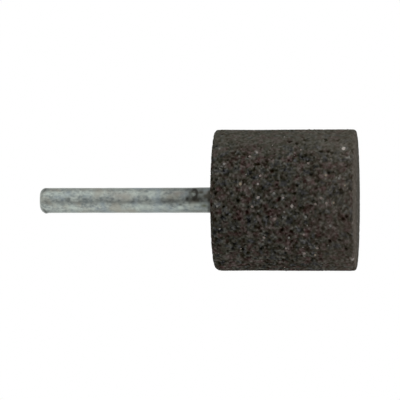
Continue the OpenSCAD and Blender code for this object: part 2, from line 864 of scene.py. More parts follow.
@dataclass(frozen=True)
class SteelFinish(Finish):
    """Dull mottled steel, faint green cast: darker at stains and painted shade, lighter at painted
    highlights.
    """

    light: Colour = (0.465, 0.512, 0.470)
    middle: Colour = (0.332, 0.363, 0.340)
    dark: Colour = (0.185, 0.207, 0.207)
    warm: Colour = (0.350, 0.338, 0.286)
    cool: Colour = (0.282, 0.335, 0.362)
    # Colour of the painted highlights on the two reflection bands
    bare: Colour = (0.50, 0.57, 0.52)
    brown: Colour = (0.27, 0.245, 0.222)
    # Colour of the stains and of the painted shade laid with them
    stain: Colour = (0.030, 0.029, 0.024)
    smear: Colour = (0.067, 0.064, 0.052)
    oil: Colour = (0.085, 0.092, 0.052)
    region: float = 6.5 * MM
    region_share: float = 0.18
    patch: float = 1.6 * MM
    patch_share: float = 0.32
    fleck: float = 0.62 * MM
    fleck_share: float = 0.50
    fleck_depth: float = 0.03 * MM
    fleck_relief: float = 0.35
    cloud: float = 3.6 * MM
    cast: float = 0.64
    drawn: float = 1.4
    roughness: tuple[float, float] = (0.34, 0.46)

    def paint(self, graph: Graph) -> dict[str, object]:
        """Mottle the steel by noise of three sizes, cast it warm and cool, and lay the mesh's stains over it.

        Args:
            graph: Where the nodes go.

        Returns:
            Inputs of the surface shader.
        """
        flecks = graph.noise(self.fleck, roughness=0.55, drawn=self.drawn)
        patches = graph.noise(self.patch, detail=1.0, drawn=self.drawn)
        regions = graph.noise(self.region, detail=1.0)
        blotch = graph.math("MULTIPLY", flecks, self.fleck_share)
        blotch = graph.math("MULTIPLY_ADD", patches, self.patch_share, blotch)
        blotch = graph.math("MULTIPLY_ADD", regions, self.region_share, blotch)
        mottled = graph.math("SUBTRACT", 1.0, graph.read("even"))
        blotch = graph.math("MULTIPLY_ADD", graph.math("SUBTRACT", blotch, 0.5), mottled, 0.5)
        stops = [(0.40, self.dark), (0.50, self.middle), (0.60, self.light)]
        colour = graph.scale_colour(graph.ramp(blotch, stops), graph.read("polish"))
        clouds = graph.noise(self.cloud)
        colour = graph.mix(graph.remap(clouds, 0.53, 0.68, 0.0, self.cast), colour, self.warm)
        colour = graph.mix(graph.remap(clouds, 0.48, 0.33, 0.0, self.cast), colour, self.cool)
        layers = {
            Trace.BARE: self.bare,
            Trace.BROWN: self.brown,
            Trace.SMEAR: self.smear,
            Trace.OIL: self.oil,
            Trace.GRIME: self.stain,
        }
        for trace, shade in layers.items():
            colour = graph.mix(graph.read(trace.value), colour, shade)
        return {
            "Base Color": colour,
            "Metallic": 1.0,
            "Roughness": graph.remap(blotch, 0.35, 0.65, *self.roughness),
            "Normal": graph.bump(flecks, self.fleck_depth, self.fleck_relief),
        }


@dataclass(frozen=True)
class CementFinish(Finish):
    """Hard brown-black cement with lighter crumbs."""

    dark: Colour = (0.030, 0.024, 0.018)
    brown: Colour = (0.085, 0.060, 0.038)
    crumb: float = 0.35 * MM
    crumb_depth: float = 0.1 * MM
    crumb_relief: float = 0.5
    roughness: float = 0.62
    specular: float = 0.3

    def paint(self, graph: Graph) -> dict[str, object]:
        """Scatter brown crumbs over the dark cement.

        Args:
            graph: Where the nodes go.

        Returns:
            Inputs of the surface shader.
        """
        crumbs = graph.noise(self.crumb, detail=3.0, roughness=0.6)
        return {
            "Base Color": graph.ramp(crumbs, [(0.38, self.dark), (0.66, self.brown)]),
            "Roughness": self.roughness,
            "Specular IOR Level": self.specular,
            "Normal": graph.bump(crumbs, self.crumb_depth, self.crumb_relief),
        }


# Pieces of the mounted point


@dataclass(frozen=True)
class Grains:
    """Height above the trued surface, tone and tint of the grain at each place."""

    height: Array
    tone: Array
    tint: Array


@dataclass(frozen=True)
class GrainField:
    """Packing of abrasive grains, trued flush at the surface, some sunk or plucked, with pits between them.

    Shades are factors on the tone or shares taken from it, and leans are slopes of a grain's top. The shades
    of sunk and plucked grains, grooves and pits are painted shade, partly the dark bond in them.
    """

    size: float = 0.70 * MM
    pressing: tuple[float, float, float] = (1.0, 0.75, 1.08)
    warp: float = 0.2
    flush_height: float = 0.012 * MM
    flush_lean: float = 0.032
    loose_lean: float = 0.136
    sunk: float = 0.26
    sunk_depth: float = 0.025 * MM
    sunk_shade: float = 0.88
    plucked: float = 0.05
    plucked_depth: float = 0.15 * MM
    plucked_shade: float = 0.35
    cluster: float = 3.4 * MM
    cluster_share: float = 0.26
    groove_width: float = 0.32
    groove_depth: float = 0.014 * MM
    groove_shade: float = 0.36
    pit_spacing: float = 0.92 * MM
    pit_radius: float = 0.4 * MM
    pit_depth: float = 0.30 * MM
    pit_least: float = 0.35
    pit_power: int = 6
    pit_shade: float = 0.76
    tone_size: float = 0.42 * MM
    tone_spread: float = 0.98
    cell_spread: float = 0.06
    tint_cluster: float = 1.38 * MM
    tint_share: float = 0.55

    def pits(self, pressed: Array) -> Array:
        """Set a pit at each centre of a second, wider packing.

        A pit is e to the power of minus a high power of the distance over its reach, so that its floor is
        flat.

        Args:
            pressed: Places in the pressed packing.

        Returns:
            Depth of the pits at each place, as a share of the deepest.
        """
        pits = pack_cells(pressed, self.pit_spacing, GrainSeed.PITS)
        wide, deep = (lattice_random(pits.key, GrainSeed.PIT_DRAWS + index) for index in range(2))
        reach = self.pit_radius / self.pit_spacing * (0.75 + 0.5 * wide)
        depth = self.pit_least + (1.0 - self.pit_least) * deep
        return np.exp(-((pits.nearest / reach) ** self.pit_power)) * depth

    def settle(self, points: Array, looseness: Array, rubbed: Array) -> Grains:
        """Work out the grain at each place on the trued surface.

        The packing is drawn out along Y, pressed along the axis and warped a little, so that grains have
        crooked borders. Each draws a number: the lowest are plucked, the next sunk, the rest flush. Its top
        is a tilted plane, and the border to the next grain is a groove. Slow noise gathers the plucked grains
        in clusters. A grain's tone is e to the power of a bell-shaped random number, the sum of three even
        ones, plus smooth noise a little over half the grain's size.

        Args:
            points: Places on the trued surface.
            looseness: Factor on the share of plucked grains at each place.
            rubbed: How far each place is rubbed smooth, from 0 to 1, which evens out its tones.

        Returns:
            Height, tone and tint at each place.
        """
        warp = [soft_noise(points, 0.5 * self.size, GrainSeed.WARP + axis) for axis in range(3)]
        pressed = (points + self.warp * self.size * np.stack(warp, axis=-1)) * np.array(self.pressing)
        cells = pack_cells(pressed, self.size, GrainSeed.PACKING)
        draw, depth, tint, lean_x, lean_y, lean_z, *tones = (
            lattice_random(cells.key, GrainSeed.DRAWS + index) for index in range(9)
        )
        gather = 1.0 + self.cluster_share * soft_noise(points, self.cluster, GrainSeed.CLUSTERS)
        share = self.plucked * gather * looseness
        is_plucked = draw < share
        is_sunk = ~is_plucked & (draw < share + self.sunk)
        level = self.flush_height * (1.0 - depth)
        level = np.where(is_sunk, -self.sunk_depth * (0.5 + depth), level)
        level = np.where(is_plucked, -self.plucked_depth * (0.7 + 0.6 * depth), level)
        lean = 2.0 * np.stack([lean_x, lean_y, lean_z], axis=-1) - 1.0
        steep = np.where(is_sunk | is_plucked, self.loose_lean, self.flush_lean)
        level = level + steep * self.size * np.sum(lean * cells.offset, axis=-1)
        inside = smooth_rise(cells.second - cells.nearest, 0.0, self.groove_width)
        level = level - self.groove_depth * (1.0 - inside)
        pit = self.pits(pressed) * np.minimum(looseness, 1.0)
        level = level - self.pit_depth * pit
        even = 1.0 - 0.5 * rubbed
        drawn = 2.0 * (sum(tones) - 1.5)
        soft = soft_noise(pressed, self.tone_size, GrainSeed.TONES)
        tone = np.exp(even * (self.cell_spread * drawn + self.tone_spread * soft))
        # Painted shade, partly dark bond: sunk and plucked grains, grooves and pits are darkened
        tone = tone * np.where(is_plucked, self.plucked_shade, np.where(is_sunk, self.sunk_shade, 1.0))
        tone = tone * (1.0 - self.groove_shade * even * (1.0 - inside)) * (1.0 - self.pit_shade * pit)
        cast = smooth_rise(soft_noise(points, self.tint_cluster, GrainSeed.TINTS), -0.75, 0.75)
        tint = (1.0 - self.tint_share) * tint + self.tint_share * cast
        return Grains(np.minimum(level, self.flush_height), tone, tint)


@dataclass(frozen=True)
class RimChip:
    """A worn place on the back rim: its angle and width round the axis, its depth and its reach across."""

    angle: float
    width: float
    depth: float
    reach: float


@dataclass(frozen=True)
class Pixel:
    """A place in the photograph."""

    x: float
    y: float


@dataclass(frozen=True)
class Spot(Pixel):
    """A round spot that stands out in the photograph, such as a pore, with its radius on the part."""

    radius_mm: float

    @property
    def radius(self) -> float:
        """Give the radius in metres."""
        return self.radius_mm * MM


@dataclass(frozen=True)
class Glint(Spot):
    """A pale grain that stands out in the photograph."""

    hue: Hue


@dataclass(frozen=True)
class PhotoCamera:
    """Camera at the photograph's viewing angle, and the way back from the photograph's pixels to the part."""

    aim_height: float = 37.56 * MM
    aim_rise: float = 0.074 * MM
    distance: float = 1.3
    drop: float = math.radians(4.6)
    roll: float = math.radians(-0.073)
    pixels_per_mm: float = 4.1724
    frame_pixels: int = 400

    def axes(self) -> tuple[Vector, Vector, Vector]:
        """Give the ways to the right, up and back in the picture, where the shank points left and +X up."""
        back = Vector((0.0, -math.cos(self.drop), -math.sin(self.drop)))
        up = Matrix.Rotation(self.roll, 3, back) @ Vector((1.0, 0.0, 0.0))
        return up.cross(back), up, back

    def aim(self) -> Vector:
        """Give the point, just above the part's axis, that the middle of the picture shows."""
        return Vector((self.aim_rise, 0.0, self.aim_height))

    def hang(self) -> None:
        """Hang the camera and make it the scene's own."""
        right, up, back = self.axes()
        camera = bpy.data.cameras.new("camera")
        width = self.frame_pixels / self.pixels_per_mm * MM
        camera.lens = camera.sensor_width * self.distance / width
        camera.clip_end = 3.0 * self.distance
        holder = bpy.data.objects.new("camera", camera)
        turned = Matrix((right, up, back)).transposed().to_4x4()
        holder.matrix_world = Matrix.Translation(self.aim() + back * self.distance) @ turned
        bpy.context.scene.collection.objects.link(holder)
        bpy.context.scene.camera = holder

    def sight(self, spots: Sequence[Pixel], radius: float) -> tuple[Array, Array]:
        """Find where the lines of sight through pixels meet a cylinder round the Z axis.

        A line of sight is the eye plus t times its direction. Put into x squared plus y squared equals the
        radius squared, it gives two roots, and the smaller t is the near side.

        Args:
            spots: Places in the photograph.
            radius: Radius of the cylinder.

        Returns:
            Angle round the axis in radians and height of each place.
        """
        right, up, back = (np.array(axis) for axis in self.axes())
        eye = np.array(self.aim()) + back * self.distance
        pixels = np.array([(spot.x, spot.y) for spot in spots]) - self.frame_pixels / 2.0
        steps = pixels / self.pixels_per_mm * MM
        ray = steps[:, :1] * right - steps[:, 1:] * up - back * self.distance
        a = np.sum(ray[:, :2] ** 2, axis=-1)
        b = ray[:, :2] @ eye[:2]
        c = np.sum(eye[:2] ** 2) - radius**2
        t = (-b - np.sqrt(np.maximum(b * b - a * c, 0.0))) / a
        hit = eye + t[:, None] * ray
        return np.arctan2(hit[:, 1], hit[:, 0]), hit[:, 2]


@dataclass(frozen=True)
class DustCover:
    """How thickly brown dust covers the nose rim, a spot beside the shank, the wall and the end face."""

    rim: float = 0.08
    spot: float = 0.45
    wall: float = 0.18
    end: float = 0.62


@dataclass(frozen=True)
class Rubbing:
    """How far the stripe, the end face and the wall near the nose are rubbed smooth, from 0 to 1."""

    stripe: float = 0.9
    end: float = 0.85
    nose: float = 0.4


@dataclass(frozen=True)
class BlindSocket:
    """Blind socket for the shank: a conical bottom, a straight wall and a countersunk mouth."""

    apex: float
    floor: float
    radius: float
    mouth_radius: float
    mouth: float

    def mouth_low(self) -> float:
        """Give the height where the wall ends and the countersink of 45 degrees starts."""
        return self.mouth - (self.mouth_radius - self.radius)


@dataclass
class AbrasiveHead:
    """Pressed head of dark grit with worn rims and the blind socket for the shank."""

    radius: float
    length: float
    socket: BlindSocket
    camera: PhotoCamera
    nose_edge: float = 0.8 * MM
    back_edge: float = 1.0 * MM
    cell: float = 0.236 * MM
    columns: int = 448
    jitter: float = 0.62
    rim_wear: float = 0.035 * MM
    rim_reach: tuple[float, float] = (0.6 * MM, 0.9 * MM)
    wall_wear: float = 0.07 * MM
    waist_wear: float = 0.07 * MM
    waist: float = 24.0 * MM
    waist_reach: float = 7.0 * MM
    nose_run: tuple[float, float] = (4.0 * MM, 12.0 * MM)
    near_run: tuple[float, float] = (-6.0 * MM, 3.0 * MM)
    dust_run: tuple[float, float] = (2.0 * MM, 15.0 * MM)
    mouth_run: tuple[float, float] = (1.2 * MM, 0.1 * MM)
    ground_early: float = 0.35 * MM
    stripe_bearing: float = math.radians(-8.0)
    stripe_margin: tuple[float, float] = (1.8 * MM, 0.3 * MM)
    stripe_edge: tuple[float, float] = (0.68, 0.93)
    # The stripe is painted lighter and greyer on the +X side, which faces the key lamp
    stripe_painted_light: float = 0.12
    stripe_tint: float = 0.60
    end_relief: float = 0.40
    # Painted light on the flat end face: its tone is raised, more on the +Y half than the -Y half
    end_painted_light: tuple[float, float] = (0.92, 0.50)
    pore_depth: float = 0.38 * MM
    pore_shade: float = 0.96
    # Painted glow: how much the grains round each pale grain are lightened
    painted_glow_gain: float = 1.05
    crystal_count: int = 60
    crystal_size: tuple[float, float] = (0.14 * MM, 0.28 * MM)
    crystal_sink: float = 0.35
    crystal_proud: float = 0.02 * MM
    crystal_margin: tuple[float, float] = (2.0 * MM, 1.5 * MM)
    crystal_ladder: int = 4000
    grains: GrainField = field(default_factory=GrainField)
    cover: DustCover = field(default_factory=DustCover)
    rubbing: Rubbing = field(default_factory=Rubbing)
    dust_spot: Spot = Spot(212.0, 193.6, 0.55)
    chips: tuple[RimChip, ...] = (
        RimChip(math.radians(183.0), math.radians(17.0), 0.16 * MM, 1.2 * MM),
        RimChip(math.radians(-112.0), math.radians(8.0), 0.20 * MM, 0.7 * MM),
        RimChip(math.radians(75.0), math.radians(12.0), 0.24 * MM, 0.9 * MM),
    )
    pores: tuple[Spot, ...] = (
        Spot(328.8, 172.5, 0.36), Spot(311.0, 174.0, 0.38), Spot(282.0, 230.2, 0.36),
        Spot(291.2, 232.2, 0.34), Spot(260.8, 249.9, 0.40), Spot(242.8, 250.4, 0.34),
        Spot(271.8, 170.0, 0.44), Spot(258.0, 163.3, 0.36), Spot(290.0, 140.6, 0.38),
        Spot(296.5, 142.6, 0.34), Spot(321.0, 150.8, 0.32), Spot(328.0, 151.0, 0.34),
        Spot(343.0, 219.4, 0.36), Spot(346.5, 216.6, 0.30), Spot(237.7, 200.4, 0.36),
        Spot(279.0, 198.6, 0.34), Spot(276.4, 184.3, 0.26), Spot(265.2, 209.3, 0.30),
        Spot(246.8, 212.3, 0.28), Spot(268.5, 216.7, 0.28), Spot(234.1, 245.0, 0.30),
        Spot(346.3, 249.6, 0.30), Spot(316.7, 244.0, 0.28), Spot(330.0, 241.9, 0.26),
        Spot(339.2, 240.4, 0.26), Spot(288.7, 159.8, 0.28), Spot(302.4, 156.4, 0.28),
        Spot(297.3, 185.3, 0.26), Spot(215.2, 193.5, 0.28), Spot(223.4, 206.7, 0.26),
        Spot(321.3, 260.3, 0.26),
    )
    glints: tuple[Glint, ...] = (
        Glint(343.4, 148.2, 0.52, Hue.BRIGHT), Glint(256.8, 152.4, 0.36, Hue.WHITE),
        Glint(249.9, 156.5, 0.34, Hue.PINK), Glint(308.1, 163.1, 0.36, Hue.PINK),
        Glint(348.9, 157.2, 0.36, Hue.GREY), Glint(260.4, 175.6, 0.36, Hue.PINK),
        Glint(325.9, 175.3, 0.34, Hue.AMBER), Glint(240.2, 184.0, 0.40, Hue.AMBER),
        Glint(257.8, 183.9, 0.36, Hue.WHITE), Glint(345.0, 185.3, 0.31, Hue.AMBER),
        Glint(274.1, 193.4, 0.36, Hue.GREY), Glint(258.3, 197.5, 0.40, Hue.WHITE),
        Glint(283.1, 197.7, 0.34, Hue.WHITE), Glint(321.1, 198.3, 0.34, Hue.PINK),
        Glint(315.7, 204.1, 0.38, Hue.PINK), Glint(291.9, 205.9, 0.40, Hue.WHITE),
        Glint(217.2, 206.2, 0.38, Hue.GREY), Glint(263.7, 237.8, 0.36, Hue.PINK),
        Glint(285.9, 248.5, 0.27, Hue.PINK), Glint(317.2, 248.5, 0.38, Hue.PINK),
        Glint(304.5, 253.6, 0.38, Hue.PINK), Glint(315.2, 255.2, 0.43, Hue.AMBER),
        Glint(353.0, 259.8, 0.43, Hue.WHITE), Glint(305.5, 217.0, 0.40, Hue.GREY),
        Glint(339.2, 178.2, 0.36, Hue.GREY), Glint(223.9, 163.9, 0.36, Hue.GREY),
        Glint(219.3, 148.6, 0.31, Hue.GREY), Glint(252.0, 206.7, 0.34, Hue.PINK),
        Glint(249.9, 188.4, 0.31, Hue.GREY), Glint(326.4, 203.2, 0.31, Hue.PINK),
        Glint(333.6, 202.7, 0.29, Hue.AMBER), Glint(300.9, 149.6, 0.31, Hue.PINK),
        Glint(283.0, 217.4, 0.31, Hue.GREY), Glint(274.8, 218.9, 0.34, Hue.PINK),
        Glint(303.8, 234.6, 0.31, Hue.PINK), Glint(330.5, 226.1, 0.29, Hue.GREY),
        Glint(288.7, 237.9, 0.29, Hue.GREY),
    )

    def half_section(self) -> Profile:
        """Draw the half section from the middle of the end face round to the bottom of the socket."""
        hole = self.socket
        nose_r = self.radius - self.nose_edge
        back_r = self.radius - self.back_edge
        wall_top = self.length - self.back_edge
        coarse = 10.0 * self.cell
        return Profile(
            [
                straight((0.0, 0.0), (nose_r, 0.0), self.cell),
                quarter_round((nose_r, self.nose_edge), self.nose_edge, -90.0, 0.0, self.cell),
                straight((self.radius, self.nose_edge), (self.radius, wall_top), self.cell),
                quarter_round((back_r, wall_top), self.back_edge, 0.0, 90.0, self.cell),
                straight((back_r, self.length), (hole.mouth_radius, self.length), self.cell),
                straight((hole.mouth_radius, self.length), (hole.radius, hole.mouth_low()), self.cell),
                straight((hole.radius, hole.mouth_low()), (hole.radius, hole.floor), coarse),
                straight((hole.radius, hole.floor), (0.0, hole.apex), coarse / 2.0),
            ]
        )

    def past_nose(self, profile: Profile, along: Array, early: float = 0.0) -> Array:
        """Rise from 0 on the end face to 1 on the wall, on the way round the nose rim or a little early."""
        first, last = profile.corners[HeadLine.NOSE_RIM], profile.corners[HeadLine.WALL]
        return smooth_rise(along, first - early, last - early)

    def wear(self, profile: Profile, along: Array, angle: Array, points: Array) -> Array:
        """Work out how far the rims and the wall are worn down.

        Each chip is a bell over the angle times a bell over the length from the middle of the back rim. A
        slow wave of noise rounds the rest of both rims a little. The wall has lost a thin layer, and a little
        more at its waist.

        Args:
            profile: The half section.
            along: Length of each point along it.
            angle: Angle of each point round the axis.
            points: Places of the points.

        Returns:
            Depth worn away at each point.
        """
        nose_reach, back_reach = self.rim_reach
        nose_rim, back_rim = profile.middle(HeadLine.NOSE_RIM), profile.middle(HeadLine.BACK_RIM)
        rims = bell(along, back_rim, back_reach) + bell(along, nose_rim, nose_reach)
        waist = bell(points[:, 2], self.waist, self.waist_reach)
        worn = self.rim_wear * rims * (1.0 + soft_noise(points, 3.2 * MM, Seed.RIM_WEAR))
        worn = worn + self.past_nose(profile, along) * (self.wall_wear + self.waist_wear * waist)
        ragged = 1.0 + 0.5 * soft_noise(points, 0.9 * MM, Seed.CHIPS)
        for chip in self.chips:
            aside = angle_from(angle, chip.angle) / chip.width
            across = (along - back_rim) / chip.reach
            worn = worn + chip.depth * ragged * np.exp(-(aside**2) - across**2)
        return worn

    def bells(self, points: Array, spots: Sequence[Spot], reach: float, power: int) -> Array:
        """Mark ragged round places on the wall, such as its deep pores.

        Args:
            points: Places on the trued surface.
            spots: Where the photograph shows them.
            reach: Reach of a bell over the radius of its spot.
            power: Power of the distance in the bell, which is steeper the higher it is.

        Returns:
            The highest of the bells at each point, from 0 to 1 at their middles.
        """
        angle, height = self.camera.sight(spots, self.radius)
        middles = np.stack([self.radius * np.cos(angle), self.radius * np.sin(angle), height], axis=-1)
        ragged = 1.0 + 0.35 * soft_noise(points, 0.5 * MM, Seed.SPOTS)
        total = np.zeros(len(points))
        for middle, spot in zip(middles, spots):
            away = np.linalg.norm(points - middle, axis=-1) * ragged / (reach * spot.radius)
            total = np.maximum(total, np.exp(-(away**power)))
        return total

    def near_nose(self, points: Array) -> Array:
        """Fall from 1 on the nose to 0 at a third of the length, on the cubic rise."""
        return 1.0 - smooth_rise(points[:, 2], *self.nose_run)

    def stripe(self, points: Array) -> Array:
        """Say where the +X side is rubbed smooth, in a ragged stripe that turns a little towards the nose.

        Args:
            points: Places of the points.

        Returns:
            Smoothness from 0 to 1, which rises with the cosine of the angle from the stripe's middle and ends
            at the rims. The same stripe is painted lighter where the key lamp faces.
        """
        bearing = np.arctan2(points[:, 1], points[:, 0])
        ragged = 0.06 * soft_noise(points, 4.0 * MM, Seed.STRIPE)
        side = np.cos(bearing - self.stripe_bearing * (1.0 + self.near_nose(points))) + ragged
        low, high = (self.radius - margin for margin in self.stripe_margin)
        on_wall = smooth_rise(np.hypot(points[:, 0], points[:, 1]), low, high)
        return smooth_rise(side, *self.stripe_edge) * on_wall

    def rubbed(self, profile: Profile, along: Array, points: Array) -> Array:
        """Say how far the surface is rubbed smooth: on the end face, along the stripe, less near the nose.

        Args:
            profile: The half section.
            along: Length of each point along it.
            points: Places of the points.

        Returns:
            Smoothness from 0 to 1.
        """
        on_end = 1.0 - self.past_nose(profile, along)
        shares = (
            self.rubbing.stripe * self.stripe(points),
            self.rubbing.end * on_end,
            self.rubbing.nose * self.near_nose(points),
        )
        return np.maximum.reduce(shares)

    def looseness(self, profile: Profile, along: Array, rubbed: Array) -> Array:
        """Say how readily grains are lost: more on the back rim, less where the surface is rubbed smooth.

        Args:
            profile: The half section.
            along: Length of each point along it.
            rubbed: How smooth the surface is at each point.

        Returns:
            Factor on the share of plucked grains.
        """
        rim = bell(along, profile.middle(HeadLine.BACK_RIM), 1.3 * MM)
        return (1.0 + 0.6 * rim) * (1.0 - 0.75 * rubbed)

    def ground(self, profile: Profile, along: Array) -> Array:
        """Fall from 1 on the flat end face to 0 near the wall's end of its rounded rim."""
        return 1.0 - self.past_nose(profile, along, self.ground_early)

    def near_half(self, points: Array) -> Array:
        """Rise from 0 on the +Y half to 1 on the -Y half."""
        return smooth_rise(-points[:, 1], *self.near_run)

    def dust(self, profile: Profile, along: Array, points: Array) -> Array:
        """Say how much brown grinding dust lies on the surface.

        Most lies on the -Y half of the end face, less on its rim, and it fades along the wall. There is a
        spot of it beside the shank, too.

        Args:
            profile: The half section.
            along: Length of each point along it.
            points: Places of the points.

        Returns:
            Cover from 0 to 1.
        """
        rim = bell(along, profile.middle(HeadLine.NOSE_RIM), 0.7 * MM)
        on_face = self.ground(profile, along)
        fading = (1.0 - on_face) * (1.0 - smooth_rise(points[:, 2], *self.dust_run))
        cloudy = 1.0 + 0.5 * soft_noise(points, 3.0 * MM, Seed.DUST)
        on_end = on_face * self.near_half(points)
        spot = self.bells(points, (self.dust_spot,), reach=1.3, power=2)
        spread = (self.cover.wall * fading + self.cover.end * on_end) * cloudy
        return np.clip(self.cover.rim * rim + self.cover.spot * spot + spread, 0.0, 1.0)

    def build(self) -> bpy.types.Object:
        """Make the head: a closed skin of small facets, each pushed in by its grain, the pores and the wear.

        Returns:
            The piece.
        """
        profile = self.half_section()
        skin = RingSkin(profile, self.columns)
        ring, angle = skin.layout()
        along = profile.rings[ring]
        mouth = profile.corners[HeadLine.MOUTH]
        outside = (along > 0.0) & (along < mouth - 2.0 * self.cell)
        token = np.stack([ring, np.arange(len(ring)) - skin.starts[ring], ring * 0], axis=-1)
        aside, around = (lattice_random(token, seed) - 0.5 for seed in (Seed.JITTER_ALONG, Seed.JITTER_ROUND))
        along = along + np.where(outside, self.jitter * self.cell * aside, 0.0)
        angle = angle + np.where(outside, self.jitter * 2.0 * np.pi / skin.counts[ring] * around, 0.0)
        points, normals = turn(profile, along, angle)
        fade = 1.0 - smooth_rise(along, *(mouth - margin for margin in self.mouth_run))
        ground = self.ground(profile, along)
        rubbed = self.rubbed(profile, along, points)
        looseness = self.looseness(profile, along, rubbed)
        grains = self.grains.settle(points, looseness, rubbed)
        # Pores are pushed in, and their tone is darkened to near black below: painted shade in the holes,
        # partly dark bond
        pores = self.bells(points, self.pores, reach=1.3, power=4)
        push = grains.height * (1.0 - (1.0 - self.end_relief) * ground) - self.pore_depth * pores
        push = np.where(ground > 0.99, np.minimum(push, 0.0), push)
        push = (push - self.wear(profile, along, angle, points)) * fade
        pushed = points + normals * push[:, None]
        piece = make_piece("grit_head", pushed, skin.triangles(Seed.HEAD_DIAGONALS), Shading.FACETED)
        # Painted glow: the grains round each pale grain are lightened, a soft spread of its glint
        painted_glow = self.bells(points, self.glints, reach=1.6, power=2)
        stripe = self.stripe(points) * (1.0 - ground)
        # Painted light: the flat end face is lightened, more on its +Y half
        far_light, near_light = self.end_painted_light
        tone = grains.tone * (1.0 + self.painted_glow_gain * painted_glow) * (1.0 - self.pore_shade * pores)
        # Painted light: the stripe on the +X side, facing the key lamp, is made lighter here and greyer below
        tone = tone * (1.0 + self.stripe_painted_light * stripe)
        tone = tone * (1.0 + ground * (far_light + (near_light - far_light) * self.near_half(points)))
        layers = {
            "grain_tone": tone,
            "grain_tint": grains.tint + 0.45 * stripe * (self.stripe_tint - grains.tint),
            "ground": ground,
            "dust": self.dust(profile, along, points),
        }
        add_attributes(piece, Domain.POINT, layers)
        return piece

    def crystals(self) -> bpy.types.Object:
        """Make the pale grains that stand in the grit: those that the photograph shows, and others at random.

        Each is a twenty-sided solid with its corners pulled in and out at random, stretched, turned at random
        and sunk by about a third of its radius. What stands above the trued surface is cut off flat.

        Returns:
            All of them as one piece.
        """
        draw = np.random.default_rng(Seed.CRYSTALS)
        profile = self.half_section()
        nose_margin, mouth_margin = self.crystal_margin
        last = profile.corners[HeadLine.MOUTH] - mouth_margin
        ladder = np.linspace(nose_margin, last, self.crystal_ladder)
        reach = profile.at(ladder)[0][:, 0]
        share = np.cumsum(reach) / reach.sum()
        seen_angle, seen_height = self.camera.sight(self.glints, self.radius)
        seen_along = profile.corners[HeadLine.WALL] + seen_height - self.nose_edge
        along = np.concatenate([np.interp(draw.random(self.crystal_count), share, ladder), seen_along])
        angle = np.concatenate([2.0 * np.pi * draw.random(self.crystal_count), seen_angle])
        least, most = self.crystal_size
        drawn = least + (most - least) * draw.random(self.crystal_count) ** 2
        size = np.concatenate([drawn, [glint.radius for glint in self.glints]])
        pale = np.interp(draw.random(self.crystal_count), [0.0, 0.72, 0.95, 1.0], [0.0, 0.2, 0.5, 0.6])
        hue = np.concatenate([pale, [glint.hue.value for glint in self.glints]])
        centre, normal = turn(profile, along, angle)
        corners, faces = icosahedron()
        pull = 0.75 + 0.45 * draw.random((len(size), len(corners)))
        stretch = 0.75 + 0.5 * draw.random((len(size), 1, 3))
        local = corners[None] * pull[..., None] * stretch * size[:, None, None]
        local = np.einsum("gij,gvj->gvi", random_turns(draw, len(size)), local)
        sunk = -self.crystal_sink * size[:, None]
        height = np.einsum("gvj,gj->gv", local, normal) + sunk
        proud = self.grains.flush_height + self.crystal_proud * draw.random((len(size), 1))
        lowered = sunk - np.maximum(height - proud, 0.0)
        placed = centre[:, None, :] + local + lowered[..., None] * normal[:, None, :]
        triangles = faces[None] + (np.arange(len(size)) * len(corners))[:, None, None]
        piece = make_piece("crystal_grains", placed.reshape(-1, 3), triangles.reshape(-1, 3), Shading.FACETED)
        add_attributes(piece, Domain.FACE, {"crystal_hue": np.repeat(hue, len(faces))})
        return piece


def icosahedron() -> tuple[Array, Array]:
    """Work out a regular twenty-sided solid from the golden ratio.

    Returns:
        Its unit corners and its faces, turning left as seen from outside.
    """
    golden = (1.0 + math.sqrt(5.0)) / 2.0
    flat = [(0.0, a, b * golden) for a in (-1.0, 1.0) for b in (-1.0, 1.0)]
    corners = np.array([np.roll(corner, shift) for shift in range(3) for corner in flat])
    corners = corners / np.linalg.norm(corners[0])
    trios = np.array(list(itertools.combinations(range(len(corners)), 3)))
    spread = np.linalg.norm(corners[trios] - corners[np.roll(trios, 1, axis=1)], axis=-1)
    faces = trios[(spread < 1.1 * spread.min()).all(axis=1)]
    a, b, c = (corners[faces[:, i]] for i in range(3))
    inward = np.sum(np.cross(b - a, c - a) * a, axis=-1) < 0.0
    return corners, np.where(inward[:, None], faces[:, ::-1], faces)


def random_turns(draw: np.random.Generator, count: int) -> Array:
    """Draw random rotations from unit quaternions.

    Args:
        draw: Source of random numbers.
        count: How many rotations.

    Returns:
        Rotation matrices.
    """
    quaternion = draw.normal(size=(count, 4))
    w, x, y, z = (quaternion / np.linalg.norm(quaternion, axis=1, keepdims=True)).T
    rows = [
        [1 - 2 * (y * y + z * z), 2 * (x * y - z * w), 2 * (x * z + y * w)],
        [2 * (x * y + z * w), 1 - 2 * (x * x + z * z), 2 * (y * z - x * w)],
        [2 * (x * z - y * w), 2 * (y * z + x * w), 1 - 2 * (x * x + y * y)],
    ]
    return np.moveaxis(np.array(rows), -1, 0)


@dataclass(frozen=True)
class Mark(Pixel):
    """A mark on the shank that stands out in the photograph: its reach on the part, its strength and kind."""

    along_mm: float
    across_mm: float
    strength: float
    trace: Trace = Trace.GRIME


